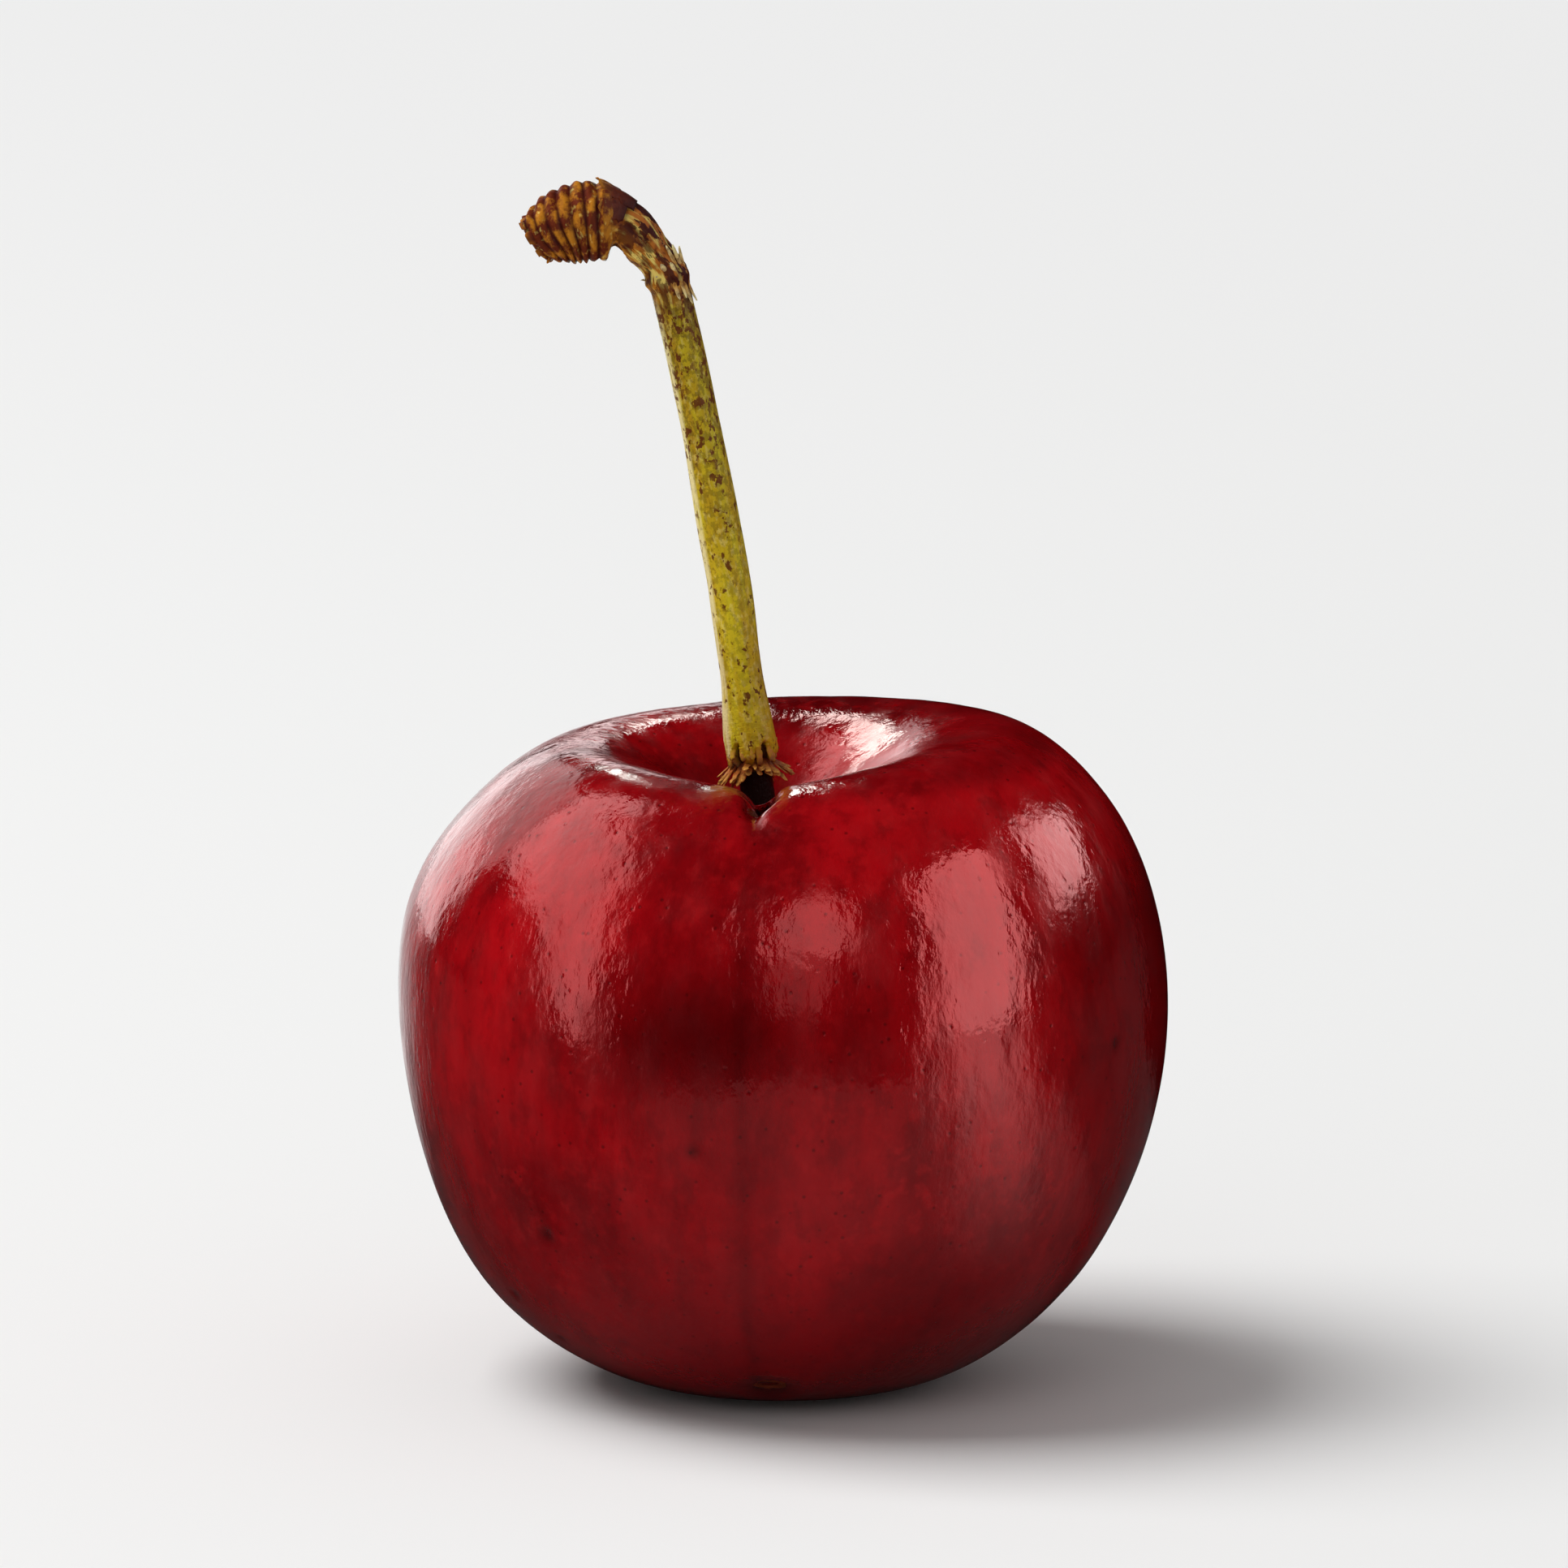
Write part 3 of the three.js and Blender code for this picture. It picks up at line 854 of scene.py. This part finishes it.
# How deep each point lies in a groove of the knob, a crack of the neck or a tear of the foot.
knob_groove = knob_part * (1 - ridge) * (1 + 0.8 * chips)
groove = knob_groove + 0.8 * neck_part * passage(wrinkles, 0.05, -0.35) + torn

stalk_skin = on_stalk(along, round_it, np.maximum(radius, 0.2))
stalk_tips = on_stalk(np.array([0.0, STALK_LENGTH - 0.18]), np.zeros(2), np.zeros(2))
# Stalk and fruit grew as one, so the lowest ring is sunk into the floor of the hollow.
stalk_skin[0, :, 2] -= ROOT_DEPTH
stalk_tips[0, 2] -= ROOT_DEPTH
stalk = build_grid("cherry_stalk", stalk_skin, stalk_tips)
end_face = passage(along, STALK_LENGTH - 0.06, STALK_LENGTH)
store(stalk.data, "along", np.append(along.ravel(), [0, STALK_LENGTH]))
store(stalk.data, "groove", np.append(np.maximum(groove, end_face).ravel(), [0, 1]))
hooped_points = np.concatenate([hooped.reshape(-1, 3), [[0, 0, 0], [0, 0, STALK_LENGTH]]])
store(stalk.data, "hooped", hooped_points * MM, "FLOAT_VECTOR", "vector")
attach(stalk, "root")
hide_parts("stalk")
print("knob top in mm:", round(float(stalk_skin[..., 2].max()), 2),
      "and its left end:", round(float(stalk_skin[..., 0].min()), 2))

# %% [markdown]
# ## Torn scales and fibres
# A real stalk is ragged in three places. Where it meets the fruit there is a torn collar and
# a fringe of snapped fibres. At the joint, thin dry scales curl away. The knob starts and
# ends in a few shreds. All of them could be painted on, but they show in the outline, so
# they are blades: flat tapering strips along a curved path. Each tuft is one mesh.

# %% Blades
def blade(start, length, turn, width, thickness, out_start, out_end, curl, jag, seed,
          rows=18, columns=14):
    """A strip on the stalk. Its middle runs from start for length along it, at turn round
    it, and its distance from the middle line goes from out_start to out_end, faster towards
    the tip as curl grows. Its half width tapers as the root of one minus nearly all of the
    sixth power of the way along, with a ragged edge of strength jag. Its cross-section is a
    flat ellipse. In a strip that runs downwards the ellipse is walked the other way, to keep
    its faces out."""
    way = np.linspace(0, 1, rows)[:, None]
    lap = np.sign(length) * np.linspace(0, 2 * np.pi, columns, endpoint=False)[None, :]
    out = out_start + (out_end - out_start) * way ** curl
    spots = np.stack([way * 3 + 0 * lap, np.sign(np.cos(lap)) + 0 * way, 0 * way * lap], -1)
    half = width / 2 * (1 - 0.97 * way ** 6) ** 0.5 * (1 + jag * grain(spots, 0.45, seed, 2))
    sideways = half * np.cos(lap)
    inwards = thickness / 2 * np.sin(lap) * (1 - 0.6 * way)
    ragged = length * (1 + 0.5 * jag * grain(np.stack([sideways, 0 * sideways + seed,
                                                       0 * sideways], -1), 0.3, seed + 50))
    places = on_stalk(start + way * ragged, turn + sideways / np.maximum(out, 0.5),
                      out - inwards)
    tips = np.stack([places[0].mean(axis=0), places[-1].mean(axis=0)])
    return places, tips


def build_tuft(name, blades):
    """One mesh of several blades, with the way along each blade stored for its material."""
    points, squares, triangles, ways = [], [], [], []
    count = 0
    for places, tips in blades:
        rows, columns = places.shape[:2]
        four, three = grid_faces(rows, columns, count)
        points += [places.reshape(-1, 3), tips]
        squares.append(four)
        triangles.append(three)
        ways.append(np.append(np.repeat(np.linspace(0, 1, rows), columns), [0, 1]))
        count += rows * columns + 2
    tuft = build_piece(name, np.concatenate(points), np.concatenate(squares),
                       np.concatenate(triangles))
    store(tuft.data, "way", np.concatenate(ways))
    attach(tuft, "root")
    return tuft


chance = np.random.default_rng(7)

# Dry scales at the joint. The front of the stalk is at minus a quarter turn. Those of
# negative length point down.
SCALE_THICKNESS, SCALE_ROOT, SCALE_JAG = 0.13, 0.66, 0.45
scales = [
    blade(start, length, turn, width, SCALE_THICKNESS, SCALE_ROOT, out, curl, SCALE_JAG,
          int(40 + 10 * turn))
    for turn, start, length, width, out, curl in (
        (-0.50, 19.60, 1.50, 0.26, 0.96, 2.6), (-1.05, 19.45, 1.45, 0.20, 0.90, 2.8),
        (-1.45, 19.80, 1.05, 0.22, 0.89, 2.4), (-0.10, 19.80, 1.15, 0.28, 0.96, 2.2),
        (-0.78, 20.00, 1.25, 0.16, 0.93, 2.0), (-1.90, 19.70, 0.90, 0.22, 0.87, 2.4),
        (0.60, 19.90, 0.90, 0.36, 0.95, 2.2), (1.50, 20.05, 0.70, 0.40, 0.94, 2.4),
        (2.40, 19.95, 0.75, 0.36, 0.92, 2.6), (3.25, 20.10, 0.60, 0.36, 0.90, 2.2),
        (-0.65, 20.55, -1.50, 0.18, 0.86, 1.8), (-1.25, 20.45, -1.15, 0.17, 0.85, 1.8),
        (-0.25, 20.40, -1.25, 0.20, 0.87, 1.8), (-0.92, 20.60, -1.10, 0.14, 0.87, 1.6))]
joint_scales = build_tuft("joint_scales", scales)

# The fringe of snapped fibres that hangs round the core at the foot.
FRINGE_BLADES, COLLAR_BLADES, KNOB_END_SHREDS = 16, 40, 9
fringe = []
for i in range(FRINGE_BLADES):
    turn = i * 2 * np.pi / FRINGE_BLADES + chance.uniform(-0.12, 0.12)
    fringe.append(blade(2.75, chance.uniform(-1.05, -0.45), turn, chance.uniform(0.22, 0.36),
                        0.16, 0.90, chance.uniform(0.88, 1.06), 1.6, 0.35, 100 + i, 14, 10))
foot_fringe = build_tuft("foot_fringe", fringe)

# The torn collar under it: ragged blades that hang from under the foot and flare away from
# the core. They are shortest in front, where the collar is arched.
collar = []
for i in range(COLLAR_BLADES):
    turn = i * 2 * np.pi / COLLAR_BLADES + chance.uniform(-0.10, 0.10)
    front = bell((turn + np.pi / 2 + np.pi) % (2 * np.pi) - np.pi, 0.5)
    length = -chance.uniform(0.55, 1.05) * (1 - 0.62 * front)
    flare = chance.uniform(0.86, 1.06) + 0.42 * abs(math.cos(turn)) ** 1.5
    collar.append(blade(2.12 + chance.uniform(-0.10, 0.12), length, turn,
                        chance.uniform(0.16, 0.32), 0.14, 0.60, flare, 1.25, 0.60,
                        200 + i, 16, 10))
torn_collar = build_tuft("torn_collar", collar)

# Shreds where the neck meets the knob, and round the knob's free end.
shreds = [blade(22.75, 1.00, -0.15, 1.10, 0.16, 0.95, 1.66, 1.2, 0.5, 301),
          blade(22.90, 0.70, -1.00, 0.80, 0.14, 1.00, 1.55, 1.3, 0.5, 302),
          blade(22.90, 0.75, 0.90, 0.90, 0.14, 1.00, 1.58, 1.3, 0.5, 303)]
for i in range(KNOB_END_SHREDS):
    turn = i * 2 * np.pi / KNOB_END_SHREDS + chance.uniform(-0.2, 0.2)
    shreds.append(blade(25.75, chance.uniform(0.45, 0.75), turn, chance.uniform(0.35, 0.60),
                        0.14, 0.84, chance.uniform(0.86, 1.08), 1.2, 0.5, 310 + i, 12, 10))
knob_shreds = build_tuft("knob_shreds", shreds)

# %% [markdown]
# ## The stalk's finish
# The shaft is olive green and freckled with red-brown corky specks that crowd together
# towards the top, where a dark net takes over. A cream line down one side is a painted
# highlight. The knob is golden bark with near-black grooves, dark partly as scar and partly as
# painted shade, and the core under the collar is painted pitch dark as shadow. Each part
# could have a material of its own, but the colours run into each other, so one material does
# all of it: it reads how far up the stalk each point is, and how deep in a groove.

# %% Stalk finish
f = Finish("stalk_bark")
OLIVE = colour(0.62, 0.39, 0.012)
LEAF = colour(0.76, 0.62, 0.018)
STRAW = colour(0.88, 0.72, 0.18)
GOLD = colour(0.47, 0.175, 0.010)
CREAM = colour(0.90, 0.76, 0.36)
MOSS = colour(0.15, 0.095, 0.006)
RUST = colour(0.44, 0.125, 0.018)
UMBER = colour(0.125, 0.018, 0.004)
SOOT = colour(0.048, 0.0040, 0.0030)
CORE_SHADOW = colour(0.012, 0.0040, 0.0030)

hoop = f.number("hooped", "Vector")
long_hoop = f.stretched(hoop, (1, 1, 0.12))
up = f.number("along")
leanward = f.parts(hoop)["X"]
bark = f.blend(f.cloud(long_hoop, 0.5, 0.36, 0.60, detail=3), OLIVE, LEAF)
straws = f.cloud(f.stretched(hoop, (1, 1, 0.5)), 0.17, 0.52, 0.66, high=0.55)
bark = f.blend(straws, bark, STRAW)
bark = f.blend(f.cloud(hoop, 0.9, 0.52, 0.75, detail=3, high=0.30), bark, UMBER)
bark = f.blend(f.band(up, 8.0, 20.0, 0, 0.42), bark, UMBER)
mottled = f.cloud(f.stretched(hoop, (1, 1, 0.8)), 0.24, 0.475, 0.545, detail=4, rough=0.7)
bark = f.blend(f.both(mottled, f.band(up, 3.0, 18.0, 0.22, 0.66)), bark, MOSS)
# Painted highlight: a cream line down the lean side of the shaft stands for rim light from
# behind on the left, fading towards the joint.
painted_rim_light = f.both(f.band(leanward, -0.00056, -0.00067), f.band(up, 17.0, 20.0, 0.92, 0.3))
bark = f.blend(f.both(painted_rim_light, f.cloud(long_hoop, 0.2, 0.30, 0.44, detail=3)), bark, CREAM)

# Corky specks: fine grain over a level that falls on the way up.
crumbs = f.noise(f.stretched(hoop, (1, 1, 0.70)), 0.23, 3, 0.6)
crumb_level = f.band(up, 2.0, 19.0, 0.610, 0.515)
speck = f.band(f.maths("SUBTRACT", crumbs, crumb_level), 0.0, 0.03, 0, 0.90)
speck_here = f.band(f.noise(hoop, 0.9), 0.40, 0.52, 0.20, 1)
bark = f.blend(f.both(speck, speck_here), bark, UMBER)

# Golden bark over the neck, redder on the side away from the lean, with pale straws.
neck_gold = f.blend(f.band(leanward, -0.0006, 0.0001), GOLD, RUST)
neck_bark = f.blend(f.cloud(hoop, 0.35, 0.36, 0.52, detail=4), UMBER, neck_gold)
straws = f.cloud(f.stretched(hoop, (1, 1, 0.22)), 0.20, 0.52, 0.62, detail=3, high=0.8)
neck_bark = f.blend(straws, neck_bark, STRAW)
bark = f.blend(f.band(up, 19.0, 20.0, 0, 0.94), bark, neck_bark)

# The dark net over joint and neck, heavier on the side away from the lean.
net = f.cloud(f.stretched(hoop, (1, 1, 0.45)), 0.34, 0.512, 0.488, detail=5, rough=0.62)
net_here = f.both(f.band(up, 18.0, 19.7), f.band(leanward, -0.0006, 0.0005, 0.55, 1.0))
bark = f.blend(f.both(net, net_here), bark, SOOT)

# Golden bark on the knob, flecked with straw. Grooves are near black, partly as dark scar and
# partly as painted shade, and the core under the collar is painted pitch dark as shadow.
knob_bark = f.blend(f.cloud(hoop, 0.34, 0.46, 0.60, detail=5, rough=0.65), UMBER, GOLD)
knob_bark = f.blend(f.cloud(hoop, 0.18, 0.60, 0.72, high=0.45), knob_bark, STRAW)
bark = f.blend(f.band(up, 22.7, 23.3), bark, knob_bark)
bark = f.blend(f.band(f.number("groove"), 0.30, 0.95, 0, 0.92), bark, SOOT)
bark = f.blend(f.band(up, 2.4, 1.7), bark, CORE_SHADOW)
rough_bark = f.bump(f.noise(hoop, 0.12, 3), 0.035, f.bump(f.noise(long_hoop, 0.10, 2), 0.03))
f.set(Base_Color=bark, Normal=rough_bark, Roughness=f.band(up, 18.0, 22.0, 0.40, 0.60),
      Specular_IOR_Level=0.07)
stalk.data.materials.append(f.material)


def blade_finish(name, root, middle, tip, blotch=0.30):
    """Finish for the blades: three colours from root to tip, then blotches in the root's
    colour, whose size is given in millimetres."""
    g = Finish(name)
    way = g.number("way")
    cloud = g.noise(g.place(), blotch, 4)
    tone = g.blend(g.band(way, 0.05, 0.45), root, middle)
    tone = g.blend(g.band(way, 0.50, 0.95), tone, tip)
    tone = g.blend(g.band(cloud, 0.45, 0.65, 0, 0.7), tone, root)
    g.set(Base_Color=tone, Normal=g.bump(g.noise(g.place(), 0.10, 3), 0.03),
          Roughness=g.band(cloud, 0.3, 0.7, 0.45, 0.7), Specular_IOR_Level=0.10)
    return g.material


AMBER = colour(0.66, 0.33, 0.060)
joint_scales.data.materials.append(blade_finish("dry_scale", UMBER, AMBER, CREAM, 0.22))
foot_fringe.data.materials.append(blade_finish("snapped_fibre", OLIVE, AMBER, UMBER, 0.20))
torn_collar.data.materials.append(blade_finish("torn_collar", UMBER, RUST, AMBER, 0.14))
knob_shreds.data.materials.append(blade_finish("knob_bark", SOOT, UMBER, GOLD))
print("materials:", len(bpy.data.materials))

# %% [markdown]
# ## The blossom scar
# At the bottom of the fruit sits the dry dot where the flower's style broke off. It could be
# a dark spot in the skin's finish, but it is a crust that stands proud, so it is a small
# disc with a raised brown ring round a dark middle, pressed into a dimple on the front foot.

# %% Blossom scar
scar_spot = skin_spot(SCAR_HEIGHT, SCAR_BEARING)
scar_middle, scar_out = skin[scar_spot], outward[scar_spot]
scar_side = np.cross([0.0, 0.0, 1.0], scar_out)
scar_side /= np.linalg.norm(scar_side)
scar_up = np.cross(scar_out, scar_side)

# The disc is a low profile turned round: its radius and its height over the skin.
profile_way = np.linspace(0, 1, 26)
STATIONS = [0, 0.25, 0.45, 0.60, 0.80, 1.0]
profile_radius = np.interp(profile_way, STATIONS, [0.30, 0.72, 0.74, 0.52, 0.26, 0.06])
profile_height = np.interp(profile_way, STATIONS, [-0.22, -0.12, 0.05, 0.07, -0.05, -0.07])
lap = np.linspace(0, 2 * np.pi, 40, endpoint=False)
spots = np.stack(np.broadcast_arrays(profile_radius[:, None] * np.cos(lap),
                                     profile_radius[:, None] * np.sin(lap),
                                     profile_height[:, None]), -1)
rough_radius = profile_radius[:, None] * (1 + 0.22 * grain(spots, 0.35, 21, 2))
rough_height = profile_height[:, None] + 0.05 * grain(spots, 0.2, 22, 2)
scar_places = (scar_middle + scar_side * (0.95 * rough_radius * np.cos(lap))[..., None]
               + scar_up * (0.60 * rough_radius * np.sin(lap))[..., None]
               + scar_out * rough_height[..., None])
scar_tips = scar_middle + scar_out * np.array([[-0.24], [-0.07]])
scar = build_grid("blossom_scar", scar_places, scar_tips)
store(scar.data, "way", np.append(np.repeat(profile_way, len(lap)), [0, 1]))
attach(scar, "root")
scar.data.materials.append(blade_finish("scar_crust", UMBER, UMBER, SOOT))
